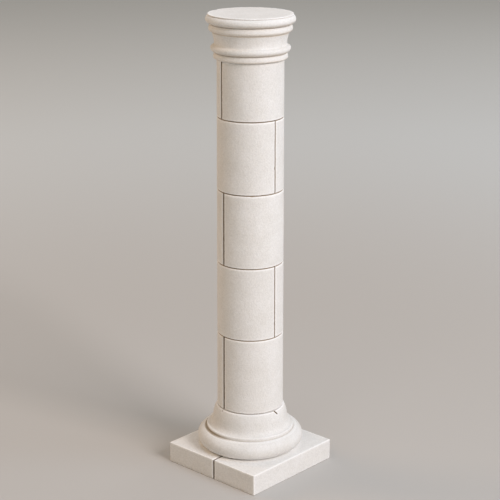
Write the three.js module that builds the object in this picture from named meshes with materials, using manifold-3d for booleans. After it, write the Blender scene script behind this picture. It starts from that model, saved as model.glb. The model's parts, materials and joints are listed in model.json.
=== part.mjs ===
// A free-standing round column of pale stone: a square plinth in two slabs, a moulded base,
// a plain tapering shaft of five drums, each in two halves, and a round moulded capital.
// Millimetres, +Z up. The origin is at the middle of the plinth's underside.
// The camera side of the column is the corner between the -Y and +X faces of the plinth.

import * as THREE from 'three';
import { mergeVertices } from 'three/addons/utils/BufferGeometryUtils.js';
import Module from 'manifold-3d';

const wasm = await Module();
wasm.setup();

// Shaft
const shaftFootRadius = 177.8;
const shaftTopRadius = 171.9;
const lowestDrumHeight = 415;
const secondDrumHeight = 394;
const middleDrumHeight = 392;
const fourthDrumHeight = 380;
const topDrumHeight = 298;

// Joints of the shaft: a narrow groove at the face, and stone against stone behind it.
// The upright joints are wider in every other drum.
const bedGrooveWidth = 4.5;
const wideUprightGroove = 10;
const narrowUprightGroove = 6;
const grooveDepth = 12;
const footArrisRadius = 3;
const headArrisRadius = 6;
const sideArrisRadius = 4;
const bedClearance = 0.3;

// The drums from the bottom up, with the direction that the upright joint faces,
// in degrees from -Y towards +X. The second joint of a drum is opposite its first.
const drums = [
  { height: lowestDrumHeight, jointDirection: -10.7, jointWidth: wideUprightGroove },
  { height: secondDrumHeight, jointDirection: 90, jointWidth: narrowUprightGroove },
  { height: middleDrumHeight, jointDirection: -10.7, jointWidth: wideUprightGroove },
  { height: fourthDrumHeight, jointDirection: 89.8, jointWidth: narrowUprightGroove },
  { height: topDrumHeight, jointDirection: -16.5, jointWidth: wideUprightGroove },
];

// Plinth
const plinthMargin = 27;
const plinthHeight = 113;
const plinthGap = 9;
const plinthGapOffset = 20;
const plinthArrisRadius = 4;

// Base, from the plinth up
const torusProjection = 107;
const torusHeight = 99.5;
const torusBedInset = 53.5;
const filletInset = 48.5;
const filletHeight = 18.5;
const filletArrisRadius = 4;
const coveHeight = 112;
const coveHollowShare = 0.18;
const coveShoulderShare = 0.47;
const coveShoulderRise = 0.6;
const rimProjection = 6.5;
const rimArrisRadius = 6;

// Nicks in the rim of the base, with their direction and their slant from upright, in degrees
const deepNickWidth = 6.5;
const deepNickLength = 52;
const deepNickDepth = 9;
const faintNickWidth = 4;
const faintNickLength = 24;
const faintNickDepth = 3;
const rimNicks = [
  { direction: 88, slant: 41, width: deepNickWidth, length: deepNickLength, depth: deepNickDepth },
  { direction: -11, slant: 0, width: faintNickWidth, length: faintNickLength, depth: faintNickDepth },
];

// Capital, from the top down. A projection is measured from the top of the shaft.
const plateProjection = 45.5;
const plateHeight = 6;
const plateArrisRadius = 1.5;
const creaseDepth = 9;
const abacusProjection = 57;
const abacusHeight = 45;
const abacusFootProjection = 26;
const beadProjection = 41.5;
const beadHeight = 38;
const neckTopProjection = 26;
const neckProjection = 12.5;
const neckBendHeight = 29;
const neckFlareProjection = 18.5;
const neckFlareHeight = 9;
const neckHeight = 69.5;
const astragalProjection = 32;
const astragalHeight = 36;
const ringTopProjection = 6;
const ringProjection = 18.5;
const ringFootProjection = 1;
const ringHeight = 34.5;

// How far up each roll its widest circle is, as a share of its height
const abacusWidest = 0.48;
const beadWidest = 0.34;
const astragalWidest = 0.6;
const ringWidest = 0.33;

// How finely round forms are cut into flats
const flatsAround = 44;
const flatsInRoll = 4;
const flatsInCove = 8;
const flatsInNeck = 3;
const flatsInArris = 2;

// Heights and radii that follow from the sizes above
const torusRadius = shaftFootRadius + torusProjection;
const plinthHalfSide = torusRadius + plinthMargin;
const plinthCornerRadius = 1.25 * plinthArrisRadius;
const baseBottom = plinthHeight + bedClearance;
const baseHeight = torusHeight + filletHeight + coveHeight - bedClearance;
const shaftBottom = baseBottom + baseHeight;
const shaftHeight = drums.reduce((sum, drum) => sum + drum.height, 0);
const capitalBottom = shaftBottom + shaftHeight + bedClearance;

// The same matte, cream-white stone throughout, a shade lighter or darker from block to block
const stoneRoughness = 0.85;
const plinthTint = '#e6dfd3';
const baseTint = '#e9e3d8';
const halfATint = '#e8e1d5';
const halfBTint = '#e4ddd0';
const capitalTint = '#ebe5da';

function namedMesh(name, geometry, tint) {
  const stone = new THREE.MeshStandardMaterial({ color: tint, roughness: stoneRoughness, metalness: 0 });
  const mesh = new THREE.Mesh(geometry, stone);
  mesh.name = name;
  return mesh;
}

// A closed geometry as a solid: vertices at one place are joined and empty triangles dropped
function solidFrom(geometry) {
  const bare = geometry.clone();
  for (const attribute of ['normal', 'uv']) bare.deleteAttribute(attribute);
  const merged = mergeVertices(bare, 1e-3);
  const corners = Array.from(merged.index.array);
  const triangles = [];
  for (let i = 0; i < corners.length; i += 3) {
    const [a, b, c] = corners.slice(i, i + 3);
    if (a !== b && b !== c && c !== a) triangles.push(a, b, c);
  }
  return new wasm.Manifold(new wasm.Mesh({
    numProp: 3,
    vertProperties: new Float32Array(merged.attributes.position.array),
    triVerts: new Uint32Array(triangles),
  }));
}

function geometryFrom(solid) {
  const mesh = solid.getMesh();
  const geometry = new THREE.BufferGeometry();
  geometry.setAttribute('position', new THREE.BufferAttribute(mesh.vertProperties, 3));
  geometry.setIndex(new THREE.BufferAttribute(mesh.triVerts, 1));
  geometry.computeVertexNormals();
  return geometry;
}

// Turns an outline of points (radius, height), listed from the bottom up, about +Z.
// The first flat's edge faces -Y, so that the drums' joints fall between flats.
function turned(outline) {
  const geometry = new THREE.LatheGeometry(outline, flatsAround);
  geometry.rotateX(Math.PI / 2);
  return solidFrom(geometry);
}

// A quarter of an ellipse from one point to another. It leaves the first point along the height
// when upright is true and along the radius when it is not. The first point itself is left out.
function quarter(from, to, steps, upright) {
  const points = [];
  for (let step = 1; step <= steps; step += 1) {
    const angle = (Math.PI / 2) * (step / steps);
    const early = Math.sin(angle);
    const late = 1 - Math.cos(angle);
    points.push(new THREE.Vector2(
      from.x + (to.x - from.x) * (upright ? late : early),
      from.y + (to.y - from.y) * (upright ? early : late),
    ));
  }
  return points;
}

// A roll that swells from one crease to its widest circle and comes back to another
function roll(lower, widest, upper, steps = flatsInRoll) {
  return [lower, ...quarter(lower, widest, steps, false), ...quarter(widest, upper, steps, true)];
}

function point(radius, height) {
  return new THREE.Vector2(radius, height);
}

// A slab with eased edges between two X values, centred on Y
function easedSlab(xLow, xHigh) {
  const e = plinthArrisRadius;
  const r = plinthCornerRadius;
  const y = plinthHalfSide;
  const outline = new THREE.Shape();
  outline.absarc(xHigh - r, y - r, r, 0, Math.PI / 2);
  outline.absarc(xLow + r, y - r, r, Math.PI / 2, Math.PI);
  outline.absarc(xLow + r, -y + r, r, Math.PI, 1.5 * Math.PI);
  outline.absarc(xHigh - r, -y + r, r, 1.5 * Math.PI, 2 * Math.PI);
  const geometry = new THREE.ExtrudeGeometry(outline, {
    depth: plinthHeight - 2 * e,
    bevelThickness: e,
    bevelSize: e,
    bevelOffset: -e,
    bevelSegments: flatsInArris,
    curveSegments: flatsInArris,
  });
  geometry.translate(0, 0, e);
  return solidFrom(geometry);
}

function plinthSlabs() {
  const left = easedSlab(-plinthHalfSide, plinthGapOffset - plinthGap / 2);
  const right = easedSlab(plinthGapOffset + plinthGap / 2, plinthHalfSide);
  return [
    namedMesh('plinth_left', geometryFrom(left), plinthTint),
    namedMesh('plinth_right', geometryFrom(right), plinthTint),
  ];
}

function baseOutline() {
  const bedRadius = torusRadius - torusBedInset;
  const filletRadius = torusRadius - filletInset;
  const rimRadius = shaftFootRadius + rimProjection;
  const filletTop = torusHeight + filletHeight;
  const rimFoot = baseHeight - rimArrisRadius;
  const span = filletRadius - rimRadius;
  const cove = new THREE.CubicBezierCurve(
    point(filletRadius - filletArrisRadius, filletTop),
    point(rimRadius + span * coveHollowShare, filletTop),
    point(rimRadius + span * coveShoulderShare, filletTop + (rimFoot - filletTop) * coveShoulderRise),
    point(rimRadius, rimFoot),
  );
  const torus = roll(
    point(bedRadius, 0),
    point(torusRadius, torusHeight / 2),
    point(filletRadius, torusHeight),
    5,
  );
  const filletEdge = point(filletRadius, filletTop - filletArrisRadius);
  return [
    point(0, 0),
    ...torus,
    filletEdge,
    ...quarter(filletEdge, cove.v0, flatsInArris, true),
    ...cove.getPoints(flatsInCove).slice(1),
    ...quarter(cove.v3, point(rimRadius - rimArrisRadius, baseHeight), flatsInArris, true),
    point(0, baseHeight),
  ];
}

// A narrow cut across the rim, seen from the axis in the nick's direction
function nickCutter(nick) {
  const rimRadius = shaftFootRadius + rimProjection;
  const cutter = new THREE.BoxGeometry(nick.width, 2 * nick.depth, nick.length);
  cutter.rotateY(THREE.MathUtils.degToRad(-nick.slant));
  cutter.translate(0, -rimRadius, baseHeight);
  cutter.rotateZ(THREE.MathUtils.degToRad(nick.direction));
  return solidFrom(cutter);
}

function baseBlock() {
  let block = turned(baseOutline());
  for (const nick of rimNicks) block = block.subtract(nickCutter(nick));
  const mesh = namedMesh('base', geometryFrom(block), baseTint);
  mesh.position.z = baseBottom;
  return mesh;
}

function shaftRadiusAt(heightInShaft) {
  return THREE.MathUtils.lerp(shaftFootRadius, shaftTopRadius, heightInShaft / shaftHeight);
}

// A drum stands on a core that is set back all round, which leaves the groove under it
function drumOutline(footRadius, headRadius, height) {
  const coreRadius = footRadius - grooveDepth;
  const foot = point(footRadius - footArrisRadius, bedGrooveWidth);
  const head = point(headRadius, height - headArrisRadius);
  return [
    point(0, 0),
    point(coreRadius, 0),
    point(coreRadius, bedGrooveWidth),
    foot,
    ...quarter(foot, point(footRadius, bedGrooveWidth + footArrisRadius), flatsInArris, false),
    head,
    ...quarter(head, point(headRadius - headArrisRadius, height), flatsInArris, true),
    point(0, height),
  ];
}

// The space that one half of a drum may fill, on the +X side of a joint that faces -Y
function halfSpace(radius, height, jointWidth) {
  const reach = 2 * radius;
  const lip = jointWidth / 2;
  const mouth = lip + sideArrisRadius;
  const edge = [
    point(mouth, -reach),
    point(mouth, -radius),
    point(lip, -radius + sideArrisRadius),
    point(lip, -radius + grooveDepth),
    point(bedClearance / 2, -radius + grooveDepth),
  ];
  const mirrored = edge.map((p) => point(p.x, -p.y)).reverse();
  const outline = new THREE.Shape([...edge, ...mirrored, point(reach, reach), point(reach, -reach)]);
  const geometry = new THREE.ExtrudeGeometry(outline, { depth: 2 * height, bevelEnabled: false });
  geometry.translate(0, 0, -height / 2);
  return geometry;
}

function drumHalves(drum, number, bottom) {
  const footRadius = shaftRadiusAt(bottom);
  const headRadius = shaftRadiusAt(bottom + drum.height);
  const whole = turned(drumOutline(footRadius, headRadius, drum.height - bedClearance));
  const spaceA = halfSpace((footRadius + headRadius) / 2, drum.height, drum.jointWidth);
  const spaceB = spaceA.clone().rotateZ(Math.PI);
  const halves = [
    namedMesh(`drum_${number}_half_a`, geometryFrom(whole.intersect(solidFrom(spaceA))), halfATint),
    namedMesh(`drum_${number}_half_b`, geometryFrom(whole.intersect(solidFrom(spaceB))), halfBTint),
  ];
  const group = new THREE.Group();
  group.add(...halves);
  group.position.z = shaftBottom + bedClearance + bottom;
  group.rotation.z = THREE.MathUtils.degToRad(drum.jointDirection);
  return group;
}

function shaft() {
  const group = new THREE.Group();
  let bottom = 0;
  drums.forEach((drum, index) => {
    group.add(drumHalves(drum, index + 1, bottom));
    bottom += drum.height;
  });
  return group;
}

function capitalOutline() {
  const at = (projection, height) => point(shaftTopRadius + projection, height);
  const astragalTop = ringHeight + astragalHeight;
  const neckTop = astragalTop + neckHeight;
  const beadTop = neckTop + beadHeight;
  const abacusTop = beadTop + abacusHeight;
  const plateTop = abacusTop + plateHeight;
  const ring = roll(
    at(ringFootProjection, 0),
    at(ringProjection, ringHeight * ringWidest),
    at(ringTopProjection, ringHeight),
    3,
  );
  const astragal = roll(
    at(ringTopProjection, ringHeight),
    at(astragalProjection, ringHeight + astragalHeight * astragalWidest),
    at(neckFlareProjection, astragalTop),
  );
  const neckFoot = at(neckProjection, astragalTop + neckFlareHeight);
  const flare = quarter(at(neckFlareProjection, astragalTop), neckFoot, flatsInArris, false);
  const neck = new THREE.QuadraticBezierCurve(
    neckFoot,
    at(neckProjection, astragalTop + neckBendHeight),
    at(neckTopProjection, neckTop),
  );
  const bead = roll(
    at(neckTopProjection, neckTop),
    at(beadProjection, neckTop + beadHeight * beadWidest),
    at(abacusFootProjection, beadTop),
    3,
  );
  const abacus = roll(
    at(abacusFootProjection, beadTop),
    at(abacusProjection, beadTop + abacusHeight * abacusWidest),
    at(plateProjection - creaseDepth, abacusTop),
  );
  return [
    point(0, 0),
    ...ring,
    ...astragal.slice(1),
    ...flare,
    ...neck.getPoints(flatsInNeck).slice(1),
    ...bead.slice(1),
    ...abacus.slice(1),
    at(plateProjection, abacusTop),
    at(plateProjection, plateTop - plateArrisRadius),
    at(plateProjection - plateArrisRadius, plateTop),
    point(0, plateTop),
  ];
}

function capitalBlock() {
  const mesh = namedMesh('capital', geometryFrom(turned(capitalOutline())), capitalTint);
  mesh.position.z = capitalBottom;
  return mesh;
}

const column = new THREE.Group();
column.add(...plinthSlabs(), baseBlock(), shaft(), capitalBlock());

export default column;
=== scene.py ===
# The looks of a free-standing round column of pale limestone: a plinth in two slabs, a moulded
# base, five drums in halves and a moulded capital. Each block is a fine mesh of the same form as
# its CAD solid, with eased arrises, open joints, small wear and a grained stone material, whose
# colour also holds painted highlights on arrises and painted shade in joints, creases and hollows.
# Shapes are worked out in millimetres and turned into metres when a block is made.

import itertools
import json
import math

import bpy
import numpy as np
from mathutils import Euler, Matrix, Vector


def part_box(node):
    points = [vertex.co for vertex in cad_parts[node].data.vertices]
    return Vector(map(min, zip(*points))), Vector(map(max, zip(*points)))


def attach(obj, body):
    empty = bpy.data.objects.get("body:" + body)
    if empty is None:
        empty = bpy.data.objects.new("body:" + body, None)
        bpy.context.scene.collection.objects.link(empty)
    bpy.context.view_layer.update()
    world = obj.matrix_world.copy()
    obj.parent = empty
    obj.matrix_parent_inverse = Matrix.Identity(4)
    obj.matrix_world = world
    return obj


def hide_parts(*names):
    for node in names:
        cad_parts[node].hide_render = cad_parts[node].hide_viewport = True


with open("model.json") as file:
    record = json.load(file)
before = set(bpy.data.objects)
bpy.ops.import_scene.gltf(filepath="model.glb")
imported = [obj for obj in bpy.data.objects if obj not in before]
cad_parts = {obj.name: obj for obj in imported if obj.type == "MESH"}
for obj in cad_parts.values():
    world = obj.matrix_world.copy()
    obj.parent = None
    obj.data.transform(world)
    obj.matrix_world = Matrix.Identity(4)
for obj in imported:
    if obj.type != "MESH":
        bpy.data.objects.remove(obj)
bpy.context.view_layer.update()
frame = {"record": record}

MM = 0.001

# Joints of the shaft, in millimetres
BED_GROOVE_WIDTH = 4.5
WIDE_GROOVE = 10.0
NARROW_GROOVE = 6.0
GROOVE_DEPTH = 12.0
FOOT_ARRIS = 3.0
HEAD_ARRIS = 6.0
SIDE_ARRIS = 4.0
BED_CLEARANCE = 0.3

# How dark the dust and painted shade are in the bed joints, in wide and narrow upright joints and
# in the nicks, from 0 to 1. At DUSTY it is tan dust all over, and beyond that it turns to painted
# shade, the dark of a deep joint in shadow, which the wide joints away from the key light get.
DUSTY = 0.6
BED_STAIN = 0.6
WIDE_DUST_AND_SHADE = 1.0
NARROW_STAIN = 0.5
NICK_STAIN = 0.3

# The drums from the bottom up, with the way each one's upright joint faces, in degrees from -Y
# towards +X, that joint's width and how dark it is. A drum's second joint is opposite its first.
DRUMS = [
    (-10.7, WIDE_GROOVE, WIDE_DUST_AND_SHADE),
    (90.0, NARROW_GROOVE, NARROW_STAIN),
    (-10.7, WIDE_GROOVE, WIDE_DUST_AND_SHADE),
    (89.8, NARROW_GROOVE, NARROW_STAIN),
    (-16.5, WIDE_GROOVE, WIDE_DUST_AND_SHADE),
]

# Shaft and plinth
SHAFT_FOOT_RADIUS = 177.8
SHAFT_TOP_RADIUS = 171.9
PLINTH_ARRIS = 4.0

# Base, from the plinth up. The cove's three values are shares of its width and height.
TORUS_HEIGHT = 99.5
TORUS_BED_INSET = 53.5
FILLET_INSET = 48.5
FILLET_HEIGHT = 18.5
FILLET_ARRIS = 4.0
COVE_HOLLOW = 0.18
COVE_SHOULDER = 0.47
COVE_SHOULDER_RISE = 0.6
RIM_PROJECTION = 6.5
RIM_ARRIS = 6.0

# Nicks in the base's rim: direction and slant from upright in degrees, then width, length, depth
RIM_NICKS = [(88.0, 41.0, 6.5, 52.0, 9.0), (-11.0, 0.0, 4.0, 24.0, 3.0)]

# Capital, from the top down. A projection is measured from the top of the shaft.
PLATE_PROJECTION = 45.5
PLATE_HEIGHT = 6.0
PLATE_ARRIS = 1.5
CREASE_DEPTH = 9.0
ABACUS_PROJECTION = 57.0
ABACUS_HEIGHT = 45.0
ABACUS_FOOT_PROJECTION = 26.0
BEAD_PROJECTION = 41.5
BEAD_HEIGHT = 38.0
NECK_TOP_PROJECTION = 26.0
NECK_PROJECTION = 12.5
NECK_BEND_HEIGHT = 29.0
NECK_FLARE_PROJECTION = 18.5
NECK_FLARE_HEIGHT = 9.0
NECK_HEIGHT = 69.5
ASTRAGAL_PROJECTION = 32.0
ASTRAGAL_HEIGHT = 36.0
RING_TOP_PROJECTION = 6.0
RING_PROJECTION = 18.5
RING_FOOT_PROJECTION = 1.0
RING_HEIGHT = 34.5

# How far up each roll of the capital is widest, as a share of its height
ABACUS_WIDEST = 0.48
BEAD_WIDEST = 0.34
ASTRAGAL_WIDEST = 0.6
RING_WIDEST = 0.33

# How fine the meshes are, in millimetres
PROFILE_SPACING = 3.0
AROUND_SPACING = 3.6
BODY_SPACING = 6.5
DISC_SPACING = 9.0
SLAB_SPACING = 6.5
ARRIS_MARGIN = 2.5

# How many steps a round arris has, in general, on the capital's plate and on the slabs, how many
# steps the face between two half drums has, and at which shares of its depth the side of an
# upright groove has its extra lines
ARRIS_STEPS = 5
PLATE_ARRIS_STEPS = 3
SLAB_ARRIS_STEPS = 3
JOINT_FACE_STEPS = 8
GROOVE_SIDE_PLACES = (0.35, 0.7)

# How much longer a quarter ellipse and a free curve are than the straight line between their ends
QUARTER_LENGTH = 1.11
CURVE_LENGTH = 1.1

# How uneven the worked stone is, in millimetres. All of it goes inwards from the true form.
SWELL_DEPTH = 0.5
SWELL_LENGTH = 140.0
DRESSING_DEPTH = 0.35
DRESSING_LENGTH = 14.0
ARRIS_WEAR = 1.1
ARRIS_WEAR_LENGTH = 11.0
CHIP_DEPTH = 2.6
CHIP_LENGTH = 24.0

# The noise, from 0 to 1, at which a chip starts and at which it has its full depth, and how many
# cells the noise has before it repeats
CHIP_NOISE = (0.80, 0.97)
LATTICE_SIDE = 48

# How sharply the surface bends, per millimetre, where wear and a painted highlight on an arris
# start and are full, and where dust and painted shade in a hollow start and are full. Shorter
# edges, in millimetres, count as this long, and the vertices next to an arris have this share of
# its wear and highlight.
WORN_AND_HIGHLIT_BEND = (0.028, 0.075)
HOLLOW_BEND = (0.012, 0.06)
SHORTEST_EDGE = 0.5
WORN_AND_HIGHLIT_SPREAD = 0.7

# Seeds of the random unevenness, with a step from one block to the next
PLINTH_SEED = 100
BASE_SEED = 200
DRUM_SEED = 300
CAPITAL_SEED = 500
SEED_STEP = 10

# How near to a flat face or to the cut of a nick a point is taken to be on it, in millimetres
FACE_MARGIN = 1.0
CUT_MARGIN = 0.2

# How upright the normal of a bed is, with 1 for a level face, and the angle between two faces, in
# degrees, from which the edge between them is shaded as sharp
BED_LEVEL = 0.97
SHARP_ANGLE = 40.0

# How far behind the shaft's face a joint's dust and painted shade start, over what depth they
# come in, and how far up and down a bed joint's own darkness of them reaches, in millimetres
DARKENING_START = 3.0
DARKENING_FADE = 2.5
BED_STAIN_REACH = 1.5

# Where the base stands on the plinth: how much dust and painted contact shade lie on the plinth
# and on the torus, from 0 to 1, and the distances out on the plinth and heights up the torus, in
# millimetres, where they start to fade and end. Beyond them a painted highlight makes the stone
# paler for a little way.
FOOT_DUST_AND_SHADE = 0.7
FOOT_DUST_AND_SHADE_END = (5.5, 11.0)
FOOT_HIGHLIGHT_START = (11.0, 22.0)
FOOT_HIGHLIGHT_END = (36.0, 60.0)
TORUS_DUST_AND_SHADE = 0.45
TORUS_DUST_AND_SHADE_END = (0.75, 2.5)
TORUS_HIGHLIGHT_START = (2.5, 5.0)
TORUS_HIGHLIGHT_END = (13.2, 22.0)

# How much painted shade lies on the underside of each roll of the capital, from 0 to 1, and how
# far above the crease under the roll it starts to fade and ends, in millimetres
ROLL_SHADE = 0.26
ROLL_SHADE_END = (6.0, 18.0)

# The foot of the capital's neck has no wear, painted highlight, dust or painted crease shade of its
# own. At these distances above and below it, in millimetres, that starts to end and ends.
NECK_FOOT_SPARED_END = (10.0, 16.0)

# The shaded side of the base, away from the key light, as an azimuth from -Y towards +X in
# degrees, and the cosines of the angles from it at which it starts and is full. There the fillet
# has painted shade and the arrises are paler with a painted highlight.
SHADED_SIDE = -47.5
SHADED_SIDE_START = (0.3, 0.85)

# The heights above the foot of the base's fillet between which its painted shade on the shaded
# side starts and then ends, in millimetres. On the other sides this much of the dust, painted
# shade, wear and highlight near the fillet is missing, and these distances from the fillet's
# middle are where that starts to end and ends.
FILLET_SHADE_START = (-3.0, 0.0)
FILLET_SHADE_END = (5.0, 12.0)
FILLET_SPARED = 0.64
FILLET_SPARED_END = (15.0, 20.0)

# How far the paler stone, rubbed and with a painted highlight, reaches, in millimetres: where it
# starts beside the mouth of a joint, where it ends beside an upright joint, bed joint or nick and
# on the torus beside the fillet, and where it starts to fade and ends around the base's arrises
LIP_START = 0.5
LIP_REACH = 13.0
BED_LIP_REACH = 8.0
NICK_LIP_REACH = 5.0
TORUS_LIP_REACH = 24.0
RUBBED_AND_HIGHLIT_END = (4.0, 8.0)

# The share of its reach at which a pale lip starts to fade, and how pale the stone is, from 0 to
# 1, beside a narrow joint, which faces the key light, on the torus beside the fillet and on the
# base's arrises away from the shaded side
LIP_FADE = 0.7
NARROW_LIP = 0.35
TORUS_LIP = 0.6
RUBBED_AND_HIGHLIT_ELSEWHERE = 0.55

# Camera: the point it faces and its distance in metres, its way from there in degrees, its lens in
# millimetres, shift, roll in radians, and how far it sees in metres
TARGET = (0.0, 0.0, 1.2078)
DISTANCE = 7.5817
AZIMUTH = 42.5
ELEVATION = 17.27
LENS = 103.74
SHIFT = -0.0007
ROLL = 0.0011
VIEW_LIMIT = 400.0


def node_box(node):
    """The lowest and highest corners of a CAD node, in millimetres."""
    low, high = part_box(node)
    return np.array(low) / MM, np.array(high) / MM


def smooth_step(low, high, values):
    """From 0 to 1 as the values go from low to high, with an eased start and end."""
    share = np.clip((values - low) / (high - low), 0.0, 1.0)
    return share * share * (3.0 - 2.0 * share)


def fade(limits, values):
    """From 1 to 0 as the values go from the first limit to the second."""
    return 1.0 - smooth_step(*limits, values)


def lattice_noise(points, length, seed):
    """Smooth noise from 0 to 1, with its swells about one length apart."""
    lattice = np.random.default_rng(seed).random((LATTICE_SIDE,) * 3)
    cell = points / length
    low = np.floor(cell).astype(int)
    share = smooth_step(0.0, 1.0, cell - low)
    total = np.zeros(len(points))
    for corner in itertools.product((0, 1), repeat=3):
        index = (low + corner) % LATTICE_SIDE
        weight = np.where(corner, share, 1.0 - share).prod(axis=1)
        total += weight * lattice[index[:, 0], index[:, 1], index[:, 2]]
    return total


# Outlines, as lists of (radius, height) points

def stretch(start, end, spacing=PROFILE_SPACING):
    """Points along a straight line, without its first."""
    start, end = np.array(start, float), np.array(end, float)
    steps = max(1, math.ceil(np.linalg.norm(end - start) / spacing))
    return [tuple(start + (end - start) * step / steps) for step in range(1, steps + 1)]


def quarter(start, end, upright, least=ARRIS_STEPS):
    """A quarter of an ellipse, without its first point, which it leaves upright or level."""
    reach, rise = end[0] - start[0], end[1] - start[1]
    steps = max(least, math.ceil(QUARTER_LENGTH * math.hypot(reach, rise) / PROFILE_SPACING))
    points = []
    for step in range(1, steps + 1):
        angle = 0.5 * math.pi * step / steps
        early, late = math.sin(angle), 1.0 - math.cos(angle)
        across, up = (late, early) if upright else (early, late)
        points.append((start[0] + reach * across, start[1] + rise * up))
    return points


def roll(lower, widest, upper):
    """A roll from one crease to another, without its first point."""
    return quarter(lower, widest, False) + quarter(widest, upper, True)


def bezier(*places):
    """A curve that three or four places guide, without its first point."""
    order = len(places) - 1
    steps = math.ceil(CURVE_LENGTH * math.dist(places[0], places[-1]) / PROFILE_SPACING)
    t = (np.arange(1, steps + 1) / steps)[:, None]
    curve = 0.0
    for number, place in enumerate(places):
        weight = math.comb(order, number) * t**number * (1 - t) ** (order - number)
        curve = curve + weight * np.array(place, float)
    return [tuple(p) for p in curve]


def base_outline(torus_radius, height):
    """The base from its bed on the plinth to the top of its rim."""
    bed = (torus_radius - TORUS_BED_INSET, 0.0)
    widest = (torus_radius, TORUS_HEIGHT / 2)
    fillet_foot = (torus_radius - FILLET_INSET, TORUS_HEIGHT)
    fillet_head = (fillet_foot[0], TORUS_HEIGHT + FILLET_HEIGHT - FILLET_ARRIS)
    cove_foot = (fillet_foot[0] - FILLET_ARRIS, TORUS_HEIGHT + FILLET_HEIGHT)
    rim_radius = SHAFT_FOOT_RADIUS + RIM_PROJECTION
    rim_foot = (rim_radius, height - RIM_ARRIS)
    rim_head = (rim_radius - RIM_ARRIS, height)
    span = fillet_foot[0] - rim_radius
    hollow = (rim_radius + span * COVE_HOLLOW, cove_foot[1])
    rise = (rim_foot[1] - cove_foot[1]) * COVE_SHOULDER_RISE
    shoulder = (rim_radius + span * COVE_SHOULDER, cove_foot[1] + rise)
    outline = [bed]
    outline += roll(bed, widest, fillet_foot)
    outline += stretch(fillet_foot, fillet_head)
    outline += quarter(fillet_head, cove_foot, True)
    outline += bezier(cove_foot, hollow, shoulder, rim_foot)
    outline += quarter(rim_foot, rim_head, True)
    return outline


def capital_outline():
    """The capital from its foot, at height 0, to a small disc in the middle of its top."""
    def at(projection, height):
        return (SHAFT_TOP_RADIUS + projection, height)

    astragal_top = RING_HEIGHT + ASTRAGAL_HEIGHT
    neck_top = astragal_top + NECK_HEIGHT
    bead_top = neck_top + BEAD_HEIGHT
    abacus_top = bead_top + ABACUS_HEIGHT
    plate_top = abacus_top + PLATE_HEIGHT
    foot = at(RING_FOOT_PROJECTION, 0.0)
    ring_crease = at(RING_TOP_PROJECTION, RING_HEIGHT)
    flare_edge = at(NECK_FLARE_PROJECTION, astragal_top)
    neck_foot = at(NECK_PROJECTION, astragal_top + NECK_FLARE_HEIGHT)
    neck_bend = at(NECK_PROJECTION, astragal_top + NECK_BEND_HEIGHT)
    neck_head = at(NECK_TOP_PROJECTION, neck_top)
    abacus_foot = at(ABACUS_FOOT_PROJECTION, bead_top)
    top_crease = at(PLATE_PROJECTION - CREASE_DEPTH, abacus_top)
    plate_foot = at(PLATE_PROJECTION, abacus_top)
    plate_side = at(PLATE_PROJECTION, plate_top - PLATE_ARRIS)
    plate_edge = at(PLATE_PROJECTION - PLATE_ARRIS, plate_top)
    outline = [foot]
    outline += roll(foot, at(RING_PROJECTION, RING_HEIGHT * RING_WIDEST), ring_crease)
    astragal_widest = RING_HEIGHT + ASTRAGAL_HEIGHT * ASTRAGAL_WIDEST
    outline += roll(ring_crease, at(ASTRAGAL_PROJECTION, astragal_widest), flare_edge)
    outline += quarter(flare_edge, neck_foot, False)
    outline += bezier(neck_foot, neck_bend, neck_head)
    bead_widest = neck_top + BEAD_HEIGHT * BEAD_WIDEST
    outline += roll(neck_head, at(BEAD_PROJECTION, bead_widest), abacus_foot)
    abacus_widest = bead_top + ABACUS_HEIGHT * ABACUS_WIDEST
    outline += roll(abacus_foot, at(ABACUS_PROJECTION, abacus_widest), top_crease)
    outline += stretch(top_crease, plate_foot)
    outline += stretch(plate_foot, plate_side)
    outline += quarter(plate_side, plate_edge, True, least=PLATE_ARRIS_STEPS)
    outline += stretch(plate_edge, (DISC_SPACING, plate_top), DISC_SPACING)
    return outline


# Meshes, as arrays of points and lists of faces

def grid_faces(rows, columns):
    """Quads between the rows of a grid whose rows close on themselves."""
    row, column = np.meshgrid(np.arange(rows - 1), np.arange(columns), indexing="ij")
    following = (column + 1) % columns
    corners = [row * columns + column, row * columns + following]
    corners += [corners[1] + columns, corners[0] + columns]
    return np.stack(corners, axis=-1).reshape(-1, 4).tolist()


def turned(outline):
    """The outline turned about +Z, with a flat face closing each end."""
    radius, height = np.array(outline).T
    columns = round(2 * math.pi * radius.max() / AROUND_SPACING)
    turn = 2 * math.pi * np.arange(columns) / columns
    x = np.outer(radius, np.sin(turn))
    y = np.outer(radius, -np.cos(turn))
    z = np.repeat(height[:, None], columns, axis=1)
    points = np.stack([x, y, z], axis=-1).reshape(-1, 3)
    last_row = (len(outline) - 1) * columns
    faces = grid_faces(len(outline), columns)
    faces.append(list(range(columns))[::-1])
    faces.append(list(range(last_row, last_row + columns)))
    return points, faces


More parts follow.
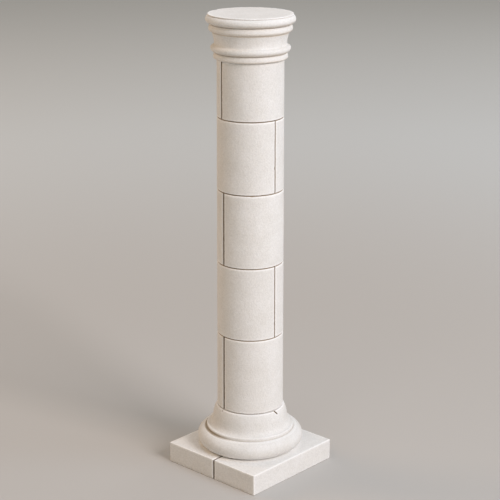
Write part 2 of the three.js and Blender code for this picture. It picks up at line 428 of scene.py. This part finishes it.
def half_plan(radius, joint_width):
    """The plan of a half drum on the +X side of a joint that faces -Y, counterclockwise."""
    half_width = joint_width / 2
    mouth = half_width + SIDE_ARRIS
    floor = radius - GROOVE_DEPTH
    centre = math.sqrt(radius**2 - mouth**2) - SIDE_ARRIS
    side = [(BED_CLEARANCE / 2, -floor), (half_width, -floor)]
    side += [(half_width, -floor + (floor - centre) * share) for share in GROOVE_SIDE_PLACES]
    side.append((half_width, -centre + ARRIS_MARGIN))
    for step in range(ARRIS_STEPS + 1):
        angle = 0.5 * math.pi * step / ARRIS_STEPS
        side.append((mouth - SIDE_ARRIS * math.cos(angle), -centre - SIDE_ARRIS * math.sin(angle)))
    start = math.asin((mouth + ARRIS_MARGIN) / radius)
    steps = round((math.pi * SHAFT_FOOT_RADIUS - 2 * mouth) / AROUND_SPACING)
    turn = start + (math.pi - 2 * start) * np.arange(steps + 1) / steps
    arc = list(zip(radius * np.sin(turn), -radius * np.cos(turn)))
    far_side = [(x, -y) for x, y in reversed(side)]
    shares = np.linspace(1, -1, JOINT_FACE_STEPS + 1)[1:-1]
    face = [(BED_CLEARANCE / 2, floor * share) for share in shares]
    return np.array(side + arc + far_side + face)


def drum_levels(height):
    """The (inset, height) levels of a drum: its core, foot arris, body and head arris."""
    foot = (FOOT_ARRIS, BED_GROOVE_WIDTH)
    body_foot = (0.0, BED_GROOVE_WIDTH + FOOT_ARRIS)
    body_head = (0.0, height - HEAD_ARRIS)
    levels = [(GROOVE_DEPTH, 0.0), (GROOVE_DEPTH, BED_GROOVE_WIDTH), foot]
    levels += quarter(foot, body_foot, False)
    plain_foot = (0.0, body_foot[1] + ARRIS_MARGIN)
    plain_head = (0.0, body_head[1] - ARRIS_MARGIN)
    levels.append(plain_foot)
    levels += stretch(plain_foot, plain_head, BODY_SPACING)
    levels.append(body_head)
    levels += quarter(body_head, (HEAD_ARRIS, height), True)
    return levels


def half_drum(bottom, height, shaft_bottom, shaft_height, turn, joint_width):
    """Half a drum whose joint faces -Y, turned about +Z by an angle in radians."""
    rows = []
    levels = drum_levels(height)
    for inset, level in levels:
        share = (bottom + level - shaft_bottom) / shaft_height
        radius = SHAFT_FOOT_RADIUS + (SHAFT_TOP_RADIUS - SHAFT_FOOT_RADIUS) * share
        plan = half_plan(radius, joint_width)
        reach = np.hypot(*plan.T)
        plan = plan * np.minimum(1.0, (radius - inset) / reach)[:, None]
        rows.append(np.column_stack([plan, np.full(len(plan), bottom + level)]))
    columns = len(rows[0])
    points = np.concatenate(rows)
    cosine, sine = math.cos(turn), math.sin(turn)
    x, y = points[:, 0].copy(), points[:, 1].copy()
    points[:, 0] = cosine * x - sine * y
    points[:, 1] = sine * x + cosine * y
    faces = grid_faces(len(levels), columns)
    faces.append(list(range(columns))[::-1])
    faces.append(list(range(len(points) - columns, len(points))))
    return points, faces


def slab_lines(low, high):
    """Where the grid lines of a slab cross one axis, close together in its arrises."""
    eased = [-ARRIS_MARGIN]
    for step in range(SLAB_ARRIS_STEPS + 1):
        eased.append(PLINTH_ARRIS * math.tan(0.25 * math.pi * step / SLAB_ARRIS_STEPS))
    low_lines = [low + PLINTH_ARRIS - e for e in reversed(eased)]
    high_lines = [high - PLINTH_ARRIS + e for e in eased]
    steps = math.ceil((high_lines[0] - low_lines[-1]) / SLAB_SPACING)
    middle = np.linspace(low_lines[-1], high_lines[0], steps + 1)[1:-1]
    return np.array(low_lines + list(middle) + high_lines)


def eased_slab(low, high):
    """A box with round arrises, as a fine grid on all six sides."""
    lines = [slab_lines(low[axis], high[axis]) for axis in range(3)]
    counts = [len(line) for line in lines]
    number = {}
    index = []
    faces = []

    def corner(place):
        if place not in number:
            number[place] = len(index)
            index.append(place)
        return number[place]

    for axis in range(3):
        u, v = (axis + 1) % 3, (axis + 2) % 3
        for end in (0, counts[axis] - 1):
            for i, j in itertools.product(range(counts[u] - 1), range(counts[v] - 1)):
                face = []
                for step_u, step_v in ((0, 0), (1, 0), (1, 1), (0, 1)):
                    place = [0, 0, 0]
                    place[axis], place[u], place[v] = end, i + step_u, j + step_v
                    face.append(corner(tuple(place)))
                faces.append(face if end else face[::-1])
    index = np.array(index)
    outer = np.stack([lines[axis][index[:, axis]] for axis in range(3)], axis=1)
    inner = np.clip(outer, low + PLINTH_ARRIS, high - PLINTH_ARRIS)
    away = outer - inner
    points = inner + PLINTH_ARRIS * away / np.linalg.norm(away, axis=1)[:, None]
    return points, faces


# Blocks

def new_mesh(name, points, faces):
    mesh = bpy.data.meshes.new(name)
    mesh.from_pydata((points * MM).tolist(), [], faces)
    mesh.update()
    return mesh


def mesh_points(mesh):
    points = np.empty(len(mesh.vertices) * 3)
    mesh.vertices.foreach_get("co", points)
    return points.reshape(-1, 3) / MM


def mesh_normals(mesh):
    normals = np.empty(len(mesh.vertices) * 3)
    mesh.vertex_normals.foreach_get("vector", normals)
    return normals.reshape(-1, 3)


def mesh_edges(mesh):
    edges = np.empty(len(mesh.edges) * 2, int)
    mesh.edges.foreach_get("vertices", edges)
    return edges.reshape(-1, 2)


def widened(values, edges, share):
    """Values that also reach each vertex's neighbours, at a share of their strength."""
    result = values.copy()
    np.maximum.at(result, edges[:, 0], share * values[edges[:, 1]])
    np.maximum.at(result, edges[:, 1], share * values[edges[:, 0]])
    return result


def averaged(values, edges, passes):
    """Values spread along the edges, to blur them by a vertex or so for each pass."""
    degree = np.bincount(edges.ravel(), minlength=len(values))
    for _ in range(passes):
        near = np.bincount(edges[:, 0], values[edges[:, 1]], len(values))
        near += np.bincount(edges[:, 1], values[edges[:, 0]], len(values))
        values = 0.5 * values + 0.5 * near / np.maximum(degree, 1)
    return values


def bend(mesh):
    """How sharply the surface bends at each vertex, per millimetre, positive where it is convex."""
    points, normals, edges = mesh_points(mesh), mesh_normals(mesh), mesh_edges(mesh)
    step = points[edges[:, 1]] - points[edges[:, 0]]
    turn = normals[edges[:, 1]] - normals[edges[:, 0]]
    length = np.maximum((step**2).sum(axis=1), SHORTEST_EDGE**2)
    sharpness = (step * turn).sum(axis=1) / length
    degree = np.bincount(edges.ravel(), minlength=len(points))
    total = np.bincount(edges[:, 0], sharpness, len(points))
    total += np.bincount(edges[:, 1], sharpness, len(points))
    return total / np.maximum(degree, 1)


def store(mesh, name, values):
    attribute = mesh.attributes.new(name, "FLOAT", "POINT")
    attribute.data.foreach_set("value", np.asarray(values, np.float32))


def weather(mesh, seed, marks):
    """Makes the surface slightly uneven and wears its arrises, and stores where it has wear with a
    painted highlight and where it has dust and painted shade. The marks are functions of points.
    Recess gives how far a point lies inside an open joint, in millimetres. The others go from 0 to
    1: darkness is how dark that joint's dust and painted shade are, dusty how much dust
    and painted shade a point has at least, pale how much wear and painted highlight it has at
    least, and spared how much of both it is without."""
    points, normals, edges = mesh_points(mesh), mesh_normals(mesh), mesh_edges(mesh)
    sharpness = bend(mesh)
    worn_and_highlit = widened(smooth_step(*WORN_AND_HIGHLIT_BEND, sharpness), edges, WORN_AND_HIGHLIT_SPREAD)
    worn_and_highlit = averaged(worn_and_highlit, edges, 1)
    crease = averaged(smooth_step(*HOLLOW_BEND, -sharpness), edges, 2)
    inside = smooth_step(0.0, DARKENING_FADE, marks["recess"](points))
    spared = marks["spared"](points)
    pale = marks["pale"](points)
    depth = SWELL_DEPTH * lattice_noise(points, SWELL_LENGTH, seed)
    depth += DRESSING_DEPTH * lattice_noise(points, DRESSING_LENGTH, seed + 1)
    depth += ARRIS_WEAR * worn_and_highlit * lattice_noise(points, ARRIS_WEAR_LENGTH, seed + 2)
    chips = smooth_step(*CHIP_NOISE, lattice_noise(points, CHIP_LENGTH, seed + 3))
    depth += CHIP_DEPTH * chips * worn_and_highlit * (1.0 - pale)
    bedded = np.abs(normals[:, 2]) > BED_LEVEL
    top = points[:, 2] > points[:, 2].max() - FACE_MARGIN
    depth[bedded & ~top] = 0.0
    depth *= 1.0 - inside
    points = points - normals * depth[:, None]
    mesh.vertices.foreach_set("co", (points * MM).ravel())
    mesh.update()
    worn_and_highlit = np.maximum(worn_and_highlit * (1.0 - spared), pale) * (1.0 - inside)
    crease = np.maximum(crease * (1.0 - worn_and_highlit) * (1.0 - spared), marks["dusty"](points))
    store(mesh, "worn_and_highlit", worn_and_highlit)
    store(mesh, "crease", crease)
    store(mesh, "joint", inside * marks["stain"](points))
    store(mesh, "tone", np.full(len(points), np.random.default_rng(seed).random()))


def nowhere(points):
    return np.zeros(len(points))


def everywhere(points):
    return np.ones(len(points))


def lip(beyond, reach):
    """How pale the stone is, from wear and a painted highlight, at a distance beyond the mouth of a
    joint. It isn't pale inside it.
    """
    return np.where(beyond < LIP_START, 0.0, fade((LIP_FADE * reach, reach), beyond))


UNMARKED = {
    "recess": nowhere, "stain": everywhere, "dusty": nowhere, "pale": nowhere, "spared": nowhere,
}


def finish_block(node, mesh, seed, **marks):
    """Turns a mesh into the block that stands for a CAD node."""
    weather(mesh, seed, UNMARKED | marks)
    mesh.shade_smooth()
    mesh.set_sharp_from_angle(angle=math.radians(SHARP_ANGLE))
    block = bpy.data.objects.new(node + "_block", mesh)
    bpy.context.scene.collection.objects.link(block)
    slot_name = slot_of[node]
    mesh.materials.append(stones[slot_name])
    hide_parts(node)
    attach(block, "root")


def plinth_recess(gap_low, gap_high, half_side, height):
    """How far a point on a face of the gap lies behind the slabs' outer faces."""
    def recess(points):
        in_gap = (points[:, 0] > gap_low - FACE_MARGIN) & (points[:, 0] < gap_high + FACE_MARGIN)
        behind = np.minimum(half_side - np.abs(points[:, 1]), height - points[:, 2])
        return np.where(in_gap, behind - PLINTH_ARRIS, 0.0)
    return recess


def make_plinth():
    left_low, left_high = node_box("plinth_left")
    right_low, right_high = node_box("plinth_right")
    recess = plinth_recess(left_high[0], right_low[0], left_high[1], left_high[2])
    foot_radius = node_box("base")[1][0] - TORUS_BED_INSET

    def beyond_foot(points):
        return np.hypot(points[:, 0], points[:, 1]) - foot_radius

    # Dust and painted contact shade round the base's foot
    def dusty(points):
        return FOOT_DUST_AND_SHADE * fade(FOOT_DUST_AND_SHADE_END, beyond_foot(points))

    # A painted highlight beyond the base's foot, and pale lips beside the gap
    def pale(points):
        beyond = beyond_foot(points)
        foot = smooth_step(*FOOT_HIGHLIGHT_START, beyond) * fade(FOOT_HIGHLIGHT_END, beyond)
        from_gap = np.maximum(left_high[0] - points[:, 0], points[:, 0] - right_low[0])
        return np.maximum(foot, lip(from_gap, LIP_REACH))

    boxes = {"plinth_left": (left_low, left_high), "plinth_right": (right_low, right_high)}
    for number, (node, (low, high)) in enumerate(boxes.items()):
        mesh = new_mesh(node, *eased_slab(low, high))
        seed = PLINTH_SEED + SEED_STEP * number
        finish_block(node, mesh, seed, recess=recess, dusty=dusty, pale=pale)


def nick_cutter(nick, top):
    """A box that cuts a narrow nick across the rim's upper arris."""
    direction, slant, width, length, depth = nick
    box = bpy.data.meshes.new("nick")
    signs = list(itertools.product((-0.5, 0.5), repeat=3))
    points = np.array(signs) * (width, 2 * depth, length)
    faces = [(0, 1, 3, 2), (4, 6, 7, 5), (0, 4, 5, 1), (2, 3, 7, 6), (0, 2, 6, 4), (1, 5, 7, 3)]
    box.from_pydata((points * MM).tolist(), [], faces)
    cutter = bpy.data.objects.new("nick", box)
    bpy.context.scene.collection.objects.link(cutter)
    angle = math.radians(direction)
    rim_radius = (SHAFT_FOOT_RADIUS + RIM_PROJECTION) * MM
    lean = Euler((0, math.radians(-slant), 0)).to_matrix()
    swing = Euler((0, 0, angle)).to_matrix()
    cutter.matrix_world = (swing @ lean).to_4x4()
    cutter.location = (rim_radius * math.sin(angle), -rim_radius * math.cos(angle), top * MM)
    bpy.context.view_layer.update()
    return cutter


def cut(mesh, cutters):
    """The mesh with each cutter taken out of it, as a new mesh. The cutters are deleted."""
    block = bpy.data.objects.new("uncut", mesh)
    bpy.context.scene.collection.objects.link(block)
    for cutter in cutters:
        difference = block.modifiers.new("cut", "BOOLEAN")
        difference.object = cutter
        difference.operation = "DIFFERENCE"
        difference.solver = "EXACT"
    view = bpy.context.evaluated_depsgraph_get()
    result = bpy.data.meshes.new_from_object(block.evaluated_get(view))
    for old in [block, *cutters]:
        bpy.data.objects.remove(old)
    return result


def beyond_nicks(cutters):
    """How far a point lies outside the nearest nick, about 0 on the faces of its cut."""
    places = [(np.array(c.matrix_world.inverted()), np.array(c.dimensions) / MM) for c in cutters]

    def beyond(points):
        flat = np.column_stack([points * MM, np.ones(len(points))])
        nearest = np.full(len(points), np.inf)
        for inverse, size in places:
            local = np.abs((flat @ inverse.T)[:, :3]) / MM
            nearest = np.minimum(nearest, (local - size / 2).max(axis=1))
        return nearest
    return beyond


def dusty_side(points):
    """From 0 to 1, how far round a point lies on the base's shaded side, away from the key light.
    """
    side = math.radians(SHADED_SIDE)
    across = math.sin(side) * points[:, 0] - math.cos(side) * points[:, 1]
    return smooth_step(*SHADED_SIDE_START, across / np.hypot(points[:, 0], points[:, 1]))


def make_base():
    low, high = node_box("base")
    outline = base_outline(high[0], high[2] - low[2])
    points, faces = turned(outline)
    points[:, 2] += low[2]
    cutters = [nick_cutter(nick, high[2]) for nick in RIM_NICKS]
    beyond = beyond_nicks(cutters)
    mesh = cut(new_mesh("base", points, faces), cutters)
    rim_radius = SHAFT_FOOT_RADIUS + RIM_PROJECTION
    fillet_radius = high[0] - FILLET_INSET

    def recess(points):
        behind = rim_radius - np.hypot(points[:, 0], points[:, 1])
        return np.where(beyond(points) < CUT_MARGIN, behind, 0.0)

    def stain(points):
        return np.full(len(points), NICK_STAIN)

    # Dust and painted contact shade at the torus foot, painted shade by the fillet on the shaded
    # side
    def dusty(points):
        rise = points[:, 2] - low[2]
        foot = TORUS_DUST_AND_SHADE * fade(TORUS_DUST_AND_SHADE_END, rise)
        over_torus = rise - TORUS_HEIGHT
        fillet = smooth_step(*FILLET_SHADE_START, over_torus) * fade(FILLET_SHADE_END, over_torus)
        return np.maximum(foot, fillet * dusty_side(points))

    # Painted highlight over the torus foot, and wear with painted highlight on arrises and by nicks
    def pale(points):
        rise = points[:, 2] - low[2]
        foot = smooth_step(*TORUS_HIGHLIGHT_START, rise) * fade(TORUS_HIGHLIGHT_END, rise)
        radius = np.hypot(points[:, 0], points[:, 1])
        from_fillet = np.hypot(radius - fillet_radius, rise - TORUS_HEIGHT - FILLET_HEIGHT)
        from_rim = np.hypot(radius - rim_radius, rise - (high[2] - low[2]))
        rubbed_and_highlit = fade(RUBBED_AND_HIGHLIT_END, np.minimum(from_fillet, from_rim))
        rubbed_and_highlit *= RUBBED_AND_HIGHLIT_ELSEWHERE + (1.0 - RUBBED_AND_HIGHLIT_ELSEWHERE) * dusty_side(points)
        at_fillet_foot = np.abs(rise - TORUS_HEIGHT) < FILLET_ARRIS
        torus_lip = lip(radius - fillet_radius - FILLET_ARRIS / 2, TORUS_LIP_REACH)
        torus_lip = TORUS_LIP * torus_lip * at_fillet_foot
        nick_lip = lip(beyond(points), NICK_LIP_REACH)
        return np.maximum.reduce([foot, rubbed_and_highlit, torus_lip, nick_lip])

    def spared(points):
        from_fillet = np.abs(points[:, 2] - low[2] - TORUS_HEIGHT - FILLET_HEIGHT / 2)
        return FILLET_SPARED * fade(FILLET_SPARED_END, from_fillet) * (1.0 - dusty_side(points))

    marks = {"recess": recess, "stain": stain, "dusty": dusty, "pale": pale, "spared": spared}
    finish_block("base", mesh, BASE_SEED, **marks)


def joint_recess(shaft_bottom, shaft_height):
    """How far a point of a drum lies behind the shaft's face."""
    def recess(points):
        share = (points[:, 2] - shaft_bottom) / shaft_height
        face = SHAFT_FOOT_RADIUS + (SHAFT_TOP_RADIUS - SHAFT_FOOT_RADIUS) * share
        return face - np.hypot(points[:, 0], points[:, 1]) - DARKENING_START
    return recess


def joint_lips(bottom, turn, joint_width):
    """How pale a half drum is, from wear and a painted highlight, beside its upright joints and
    over the bed joint under it. The narrow joints, which face the key light, get less of it."""
    strength = 1.0 if joint_width == WIDE_GROOVE else NARROW_LIP

    def pale(points):
        across = math.cos(turn) * points[:, 0] + math.sin(turn) * points[:, 1]
        beside = strength * lip(across - joint_width / 2, LIP_REACH)
        over = lip(points[:, 2] - bottom - BED_GROOVE_WIDTH, BED_LIP_REACH)
        return np.maximum(beside, over)
    return pale


def joint_stain(bottom, top, upright_stain):
    """Dust and painted shade at a point of a drum: one darkness in bed joints, another elsewhere.
    """
    def stain(points):
        from_bed = np.minimum(points[:, 2] - bottom - BED_GROOVE_WIDTH, top - points[:, 2])
        return np.where(from_bed < BED_STAIN_REACH, BED_STAIN, upright_stain)
    return stain


def make_shaft():
    shaft_bottom = node_box("drum_1_half_a")[0][2]
    last_drum = f"drum_{len(DRUMS)}_half_a"
    shaft_height = node_box(last_drum)[1][2] - shaft_bottom
    recess = joint_recess(shaft_bottom, shaft_height)
    for number, (joint_direction, joint_width, joint_darkness) in enumerate(DRUMS, start=1):
        for half_number, half in enumerate("ab"):
            node = f"drum_{number}_half_{half}"
            (_, _, bottom), (_, _, top) = node_box(node)
            turn = math.radians(joint_direction) + math.pi * half_number
            form = half_drum(bottom, top - bottom, shaft_bottom, shaft_height, turn, joint_width)
            seed = DRUM_SEED + SEED_STEP * (2 * number + half_number)
            stain = joint_stain(bottom, top, joint_darkness)
            pale = joint_lips(bottom, turn, joint_width)
            finish_block(node, new_mesh(node, *form), seed, recess=recess, stain=stain, pale=pale)


def make_capital():
    points, faces = turned(capital_outline())
    bottom = node_box("capital")[0][2]
    points[:, 2] += bottom
    ring_crease = bottom + RING_HEIGHT
    neck_foot = ring_crease + ASTRAGAL_HEIGHT
    bead_crease = neck_foot + NECK_HEIGHT
    abacus_crease = bead_crease + BEAD_HEIGHT

    def spared(points):
        return fade(NECK_FOOT_SPARED_END, np.abs(points[:, 2] - neck_foot))

    # Painted shade on the underside of each roll
    def dusty(points):
        dust = np.zeros(len(points))
        for crease in (bottom, ring_crease, bead_crease, abacus_crease):
            above = points[:, 2] - crease
            under_roll = np.where(above > 0.0, fade(ROLL_SHADE_END, above), 0.0)
            dust = np.maximum(dust, ROLL_SHADE * under_roll)
        return dust

    mesh = new_mesh("capital", points, faces)
    finish_block("capital", mesh, CAPITAL_SEED, spared=spared, dusty=dusty)


# Stone

def add_node(tree, kind, **settings):
    node = tree.nodes.new(kind)
    for name, value in settings.items():
        setattr(node, name, value)
    return node


def noise(tree, place, scale, detail, roughness):
    node = add_node(tree, "ShaderNodeTexNoise")
    node.inputs["Scale"].default_value = scale
    node.inputs["Detail"].default_value = detail
    node.inputs["Roughness"].default_value = roughness
    tree.links.new(place, node.inputs["Vector"])
    return node.outputs["Fac"]


def to_range(tree, value, low, high, to_low, to_high, shape="LINEAR"):
    """The value, spread from one range to another and held inside it."""
    node = add_node(tree, "ShaderNodeMapRange", interpolation_type=shape)
    node.inputs["From Min"].default_value = low
    node.inputs["From Max"].default_value = high
    node.inputs["To Min"].default_value = to_low
    node.inputs["To Max"].default_value = to_high
    tree.links.new(value, node.inputs["Value"])
    return node.outputs["Result"]


def calculate(tree, operation, first, second):
    """The result of an operation on two values, each of them a number or a socket."""
    node = add_node(tree, "ShaderNodeMath", operation=operation)
    for socket, value in zip(node.inputs, (first, second)):
        if isinstance(value, float):
            socket.default_value = value
        else:
            tree.links.new(value, socket)
    return node.outputs["Value"]


def mix_colour(tree, share, first, second):
    """A mix of two colours, with this share of the second. A colour is a tuple or a socket."""
    node = add_node(tree, "ShaderNodeMix", data_type="RGBA", blend_type="MIX")
    tree.links.new(share, node.inputs["Factor"])
    for socket, value in zip((node.inputs["A"], node.inputs["B"]), (first, second)):
        if isinstance(value, tuple):
            socket.default_value = (*value, 1.0)
        else:
            tree.links.new(value, socket)
    return node.outputs["Result"]


def attribute(tree, name):
    return add_node(tree, "ShaderNodeAttribute", attribute_name=name).outputs["Fac"]


# The colours of the plain stone, of its worn arrises with their painted highlight, of dust and
# painted shade, of joints with painted shade deep in them, and of pits
PALE = (0.83, 0.815, 0.795)
CREAM = (0.78, 0.762, 0.733)
WARM = (0.72, 0.685, 0.635)
ARRIS_WEAR_AND_HIGHLIGHT = (0.91, 0.895, 0.875)
DUST_AND_SHADE = (0.62, 0.44, 0.24)
BASE_DUST_AND_SHADE = (0.36, 0.28, 0.185)
JOINT_DUST = (0.42, 0.32, 0.22)
DEEP_JOINT_SHADE = (0.16, 0.10, 0.055)
PIT = (0.55, 0.50, 0.44)

# The stone's noises, each with its scale per metre, detail and roughness, and then the part of
# each that is spread out to the full range
CLOUDS = (8.0, 5.0, 0.55)
BLOTCHES = (40.0, 4.0, 0.55)
GRAIN = (120.0, 5.0, 0.65)
PIT_PATCHES = (21.0, 2.0, 0.55)
CLOUD_RANGE = (0.35, 0.65)
BLOTCH_RANGE = (0.3, 0.7)
GRAIN_RANGE = (0.3, 0.7)
PIT_PATCH_RANGE = (0.5, 0.7)

# Pits: how many to a metre, and the distances from a pit's middle at which it starts to fade and
# ends, with the spacing of the pits as 1
PIT_SCALE = 95.0
PIT_EDGE = (0.10, 0.22)

# How much of the stone's colour the warm blotches, pits, wear with its painted highlight, and dust
# with its painted shade hide where they are full
BLOTCH_COVER = 0.25
PIT_COVER = 0.6
WORN_AND_HIGHLIT_COVER = 0.95
DUST_AND_SHADE_COVER = 0.85

# The brightness of the grain's darkest and brightest spots, and of the darkest block of a slot
GRAIN_SHADE = (0.92, 1.06)
DARKEST_BLOCK = 0.975

# How rough the stone is outside and inside its blotches, how much it shines, how strong its bumps
# are and how high in metres, and how deep a pit is with the grain's height as 1
STONE_ROUGHNESS = (0.80, 0.92)
STONE_SHINE = 0.3
BUMP_STRENGTH = 0.6
BUMP_HEIGHT = 0.0035
PIT_DEPTH = 0.8

# Each slot's brightness and colour of dust and painted shade
STONE_LOOKS = {
    "plinth_stone": (0.995, DUST_AND_SHADE),
    "base_stone": (0.965, BASE_DUST_AND_SHADE),
    "shaft_stone": (1.0, DUST_AND_SHADE),
    "capital_stone": (1.0, DUST_AND_SHADE),
}


def stone(name, brightness, dust_and_shade_colour):
    """Rubbed pale limestone: cream and near-white clouds, fine grain, small pits, paler arrises
    from wear and a painted highlight, and warm dust and painted shade in the joints and creases."""
    material = bpy.data.materials.new(name)
    material.use_nodes = True
    tree = material.node_tree
    shader = tree.nodes["Principled BSDF"]
    place = add_node(tree, "ShaderNodeTexCoord").outputs["Object"]

    clouds = to_range(tree, noise(tree, place, *CLOUDS), *CLOUD_RANGE, 0.0, 1.0)
    blotches = to_range(tree, noise(tree, place, *BLOTCHES), *BLOTCH_RANGE, 0.0, 1.0)
    grain = noise(tree, place, *GRAIN)
    colour = mix_colour(tree, clouds, CREAM, PALE)
    blotch_cover = calculate(tree, "MULTIPLY", blotches, BLOTCH_COVER)
    colour = mix_colour(tree, blotch_cover, colour, WARM)
    shade = to_range(tree, grain, *GRAIN_RANGE, *GRAIN_SHADE)
    darkest = DARKEST_BLOCK * brightness
    tone = to_range(tree, attribute(tree, "tone"), 0.0, 1.0, darkest, brightness)
    shade = calculate(tree, "MULTIPLY", shade, tone)

    pits = add_node(tree, "ShaderNodeTexVoronoi")
    pits.inputs["Scale"].default_value = PIT_SCALE
    tree.links.new(place, pits.inputs["Vector"])
    pit = to_range(tree, pits.outputs["Distance"], *PIT_EDGE, 1.0, 0.0)
    patches = noise(tree, place, *PIT_PATCHES)
    patch_cover = to_range(tree, patches, *PIT_PATCH_RANGE, 0.0, PIT_COVER)
    pit = calculate(tree, "MULTIPLY", pit, patch_cover)
    colour = mix_colour(tree, pit, colour, PIT)

    # Arrises paler from wear and a painted highlight
    worn_and_highlit = calculate(tree, "MULTIPLY", attribute(tree, "worn_and_highlit"), WORN_AND_HIGHLIT_COVER)
    colour = mix_colour(tree, worn_and_highlit, colour, ARRIS_WEAR_AND_HIGHLIGHT)
    # Dust and painted shade in creases and hollows
    dust = calculate(tree, "MULTIPLY", attribute(tree, "crease"), DUST_AND_SHADE_COVER)
    colour = mix_colour(tree, dust, colour, dust_and_shade_colour)
    # Joints: tan dust, turning to painted deep shade in the darkest ones
    joint = attribute(tree, "joint")
    colour = mix_colour(tree, to_range(tree, joint, 0.0, DUSTY, 0.0, 1.0), colour, JOINT_DUST)
    colour = mix_colour(tree, to_range(tree, joint, DUSTY, 1.0, 0.0, 1.0), colour, DEEP_JOINT_SHADE)
    scaled = add_node(tree, "ShaderNodeVectorMath", operation="SCALE")
    tree.links.new(colour, scaled.inputs[0])
    tree.links.new(shade, scaled.inputs["Scale"])
    tree.links.new(scaled.outputs["Vector"], shader.inputs["Base Color"])

    roughness = to_range(tree, blotches, 0.0, 1.0, *STONE_ROUGHNESS)
    tree.links.new(roughness, shader.inputs["Roughness"])
    shader.inputs["Specular IOR Level"].default_value = STONE_SHINE

    rise = calculate(tree, "SUBTRACT", grain, calculate(tree, "MULTIPLY", pit, PIT_DEPTH))
    bump = add_node(tree, "ShaderNodeBump")
    bump.inputs["Strength"].default_value = BUMP_STRENGTH
    bump.inputs["Distance"].default_value = BUMP_HEIGHT
    tree.links.new(rise, bump.inputs["Height"])
    tree.links.new(bump.outputs["Normal"], shader.inputs["Normal"])
    return material


slot_of = {part["node"]: part["material_slot"] for part in frame["record"]["subparts"]}
stones = {slot: stone(slot, *looks) for slot, looks in STONE_LOOKS.items()}


# Floor, light and camera

# The floor: how far it goes and where its two colours blend, in metres from the column, then its
# colours, how rough it is and how much it shines, and last the colour of the light all round
FLOOR_HALF_SIDE = 80.0
FLOOR_BLEND = (2.0, 9.0)
FLOOR_COLOUR = (0.50, 0.48, 0.455)
FAR_FLOOR_COLOUR = (0.63, 0.655, 0.665)
FLOOR_ROUGHNESS = 0.95
FLOOR_SHINE = 0.1
WORLD_COLOUR = (0.32, 0.288, 0.243)

# Soft boxes: azimuth from -Y towards +X and elevation in degrees, distance and side in metres,
# watts and colour
SOFT_BOXES = {
    "key": (87, 30, 28.0, 12.0, 5353, (1.0, 0.945, 0.951)),
    "cool_side": (115, 45, 18.0, 8.0, 647, (0.522, 0.748, 1.0)),
    "overhead": (45, 88, 18.0, 8.0, 700, (0.690, 0.819, 1.0)),
    "left_fill": (-70, 25, 18.0, 8.0, 764, (1.0, 0.646, 0.362)),
    "front_fill": (20, 30, 18.0, 8.0, 192, (1.0, 0.88, 0.72)),
    "back_fill": (180, 25, 18.0, 8.0, 230, (1.0, 0.93, 0.85)),
}

# The height on the column's axis that the boxes face, in metres
LIT_HEIGHT = 1.6


def make_floor():
    """A plain pale floor. It is paler further off, where the lights reach it less."""
    mesh = bpy.data.meshes.new("floor")
    side = FLOOR_HALF_SIDE
    corners = [(-side, -side, 0), (side, -side, 0), (side, side, 0), (-side, side, 0)]
    mesh.from_pydata(corners, [], [(0, 1, 2, 3)])
    floor = bpy.data.objects.new("floor", mesh)
    bpy.context.scene.collection.objects.link(floor)
    material = bpy.data.materials.new("floor_paint")
    material.use_nodes = True
    tree = material.node_tree
    shader = tree.nodes["Principled BSDF"]
    from_column = add_node(tree, "ShaderNodeVectorMath", operation="LENGTH")
    place = add_node(tree, "ShaderNodeTexCoord").outputs["Object"]
    tree.links.new(place, from_column.inputs[0])
    far = to_range(tree, from_column.outputs["Value"], *FLOOR_BLEND, 0.0, 1.0, "SMOOTHSTEP")
    colour = mix_colour(tree, far, FLOOR_COLOUR, FAR_FLOOR_COLOUR)
    tree.links.new(colour, shader.inputs["Base Color"])
    shader.inputs["Roughness"].default_value = FLOOR_ROUGHNESS
    shader.inputs["Specular IOR Level"].default_value = FLOOR_SHINE
    mesh.materials.append(material)


def direction(azimuth, elevation):
    """The way from the object to a place at this azimuth from -Y towards +X, and elevation."""
    a, e = math.radians(azimuth), math.radians(elevation)
    return Vector((math.sin(a) * math.cos(e), -math.cos(a) * math.cos(e), math.sin(e)))


def soft_light(name, azimuth, elevation, distance, side, watts, colour):
    """A large square light that faces the column's axis."""
    lamp = bpy.data.lights.new(name, "AREA")
    lamp.size = side
    lamp.energy = watts
    lamp.color = colour
    holder = bpy.data.objects.new(name, lamp)
    bpy.context.scene.collection.objects.link(holder)
    way = direction(azimuth, elevation)
    holder.location = Vector((0, 0, LIT_HEIGHT)) + way * distance
    holder.rotation_euler = way.to_track_quat("Z", "Y").to_euler()


def make_world():
    """Dim, slightly warm light from all round."""
    world = bpy.data.worlds.new("studio")
    world.use_nodes = True
    world.node_tree.nodes["Background"].inputs["Color"].default_value = (*WORLD_COLOUR, 1.0)
    bpy.context.scene.world = world


def make_camera():
    lens = bpy.data.cameras.new("camera")
    lens.lens = LENS
    lens.shift_x = SHIFT
    lens.clip_end = VIEW_LIMIT
    camera = bpy.data.objects.new("camera", lens)
    bpy.context.scene.collection.objects.link(camera)
    way = direction(AZIMUTH, ELEVATION)
    camera.location = Vector(TARGET) + way * DISTANCE
    facing = way.to_track_quat("Z", "Y").to_matrix() @ Euler((0, 0, ROLL)).to_matrix()
    camera.rotation_euler = facing.to_euler()
    bpy.context.scene.camera = camera


make_camera()
make_world()
for name, settings in SOFT_BOXES.items():
    soft_light(name, *settings)
make_floor()
make_plinth()
make_base()
make_shaft()
make_capital()
bpy.context.scene.view_settings.view_transform = "Standard"
